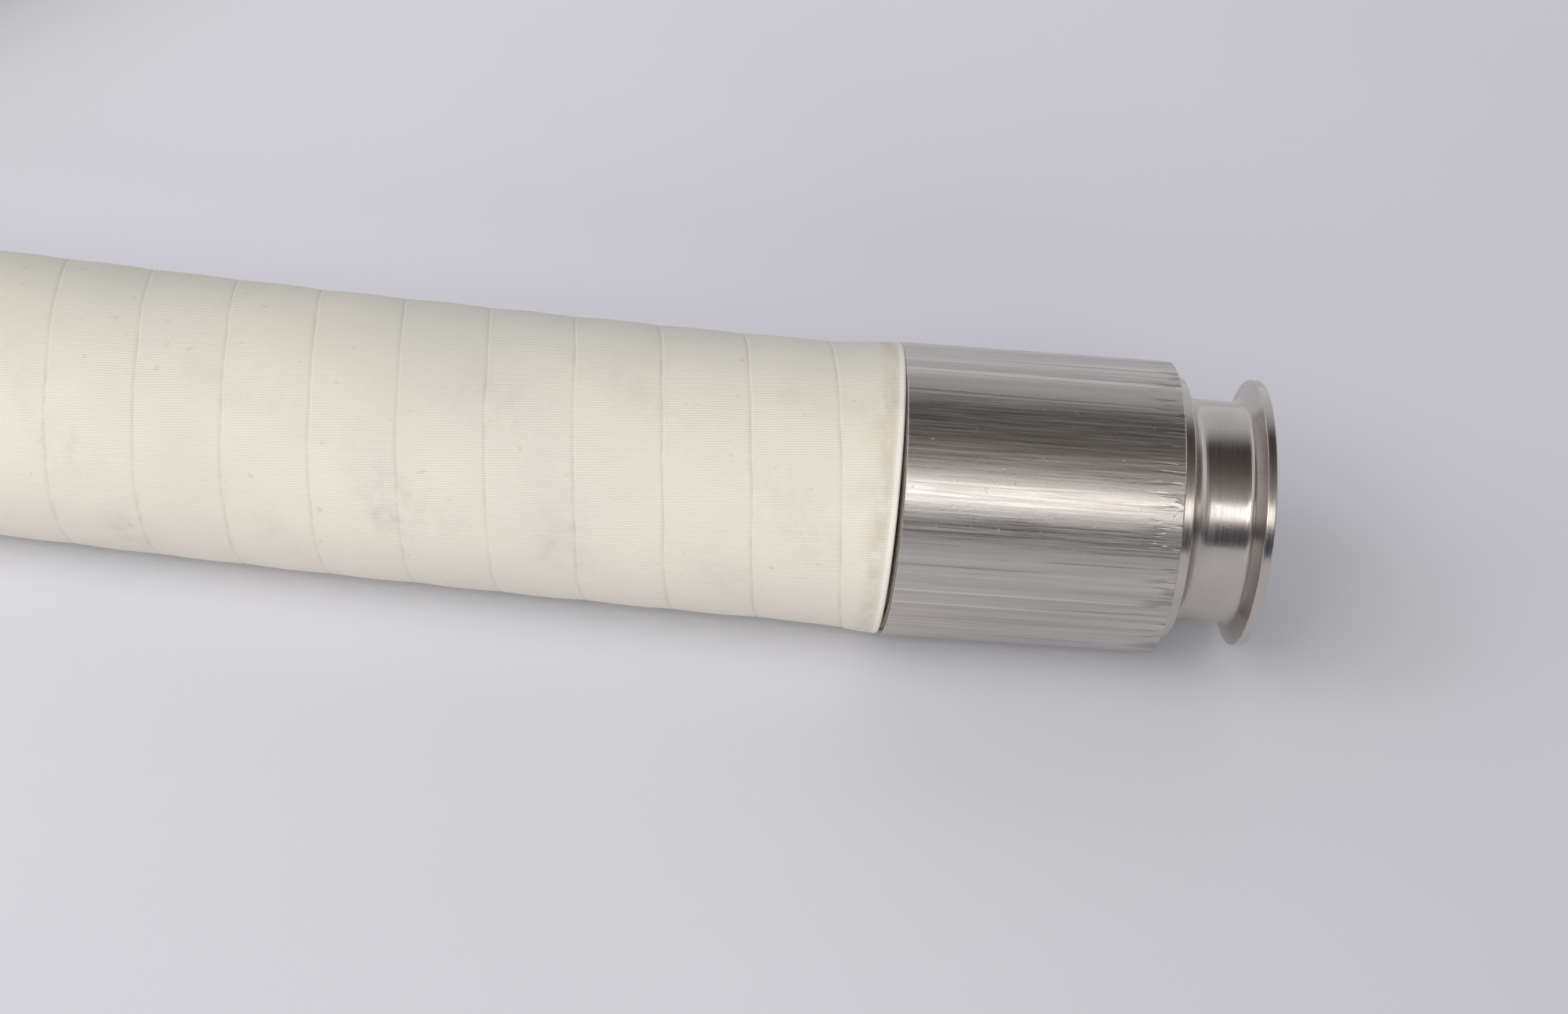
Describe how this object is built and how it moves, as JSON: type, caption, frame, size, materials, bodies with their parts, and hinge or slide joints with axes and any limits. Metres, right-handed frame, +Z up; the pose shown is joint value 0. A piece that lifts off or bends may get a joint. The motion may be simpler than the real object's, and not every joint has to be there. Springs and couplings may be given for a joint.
{
  "type": "rubber hose with hygienic clamp ends",
  "caption": "Cloth-wrapped cream rubber hose for food and drink plant, with a swaged stainless steel sleeve and clamp flange on each end.",
  "frame": {"origin": "centre of end A's sealing face, on the bore's axis", "axes": "+X along the bore and out of end A's mouth, +Z up from the floor that the hose lies on"},
  "size_m": [1.0478, 0.792, 0.07],
  "materials": {
    "polished_steel": "polished, with faint turning marks",
    "satin_steel": "satin, drawn lengthways, with short nicks at its front edge",
    "cover_rubber": "matte, printed with the weave of a wrapping cloth, lightly scuffed",
    "liner_rubber": "smooth, matte",
    "textile": "rubber-coated cord fabric",
    "spring_steel": "drawn wire"
  },
  "bodies": {
    "root": {"clamp_end_a": "polished_steel", "sleeve_a": "satin_steel", "liner_a": "liner_rubber", "inner_ply_a": "textile", "helix_wire_a": "spring_steel", "outer_ply_a": "textile", "cover_a": "cover_rubber", "hose_run": "cover_rubber", "hose_coil": "cover_rubber", "hose_end_run": "cover_rubber", "clamp_end_b": "polished_steel", "sleeve_b": "satin_steel", "liner_b": "liner_rubber", "inner_ply_b": "textile", "helix_wire_b": "spring_steel", "outer_ply_b": "textile", "cover_b": "cover_rubber"}
  },
  "joints": []
}
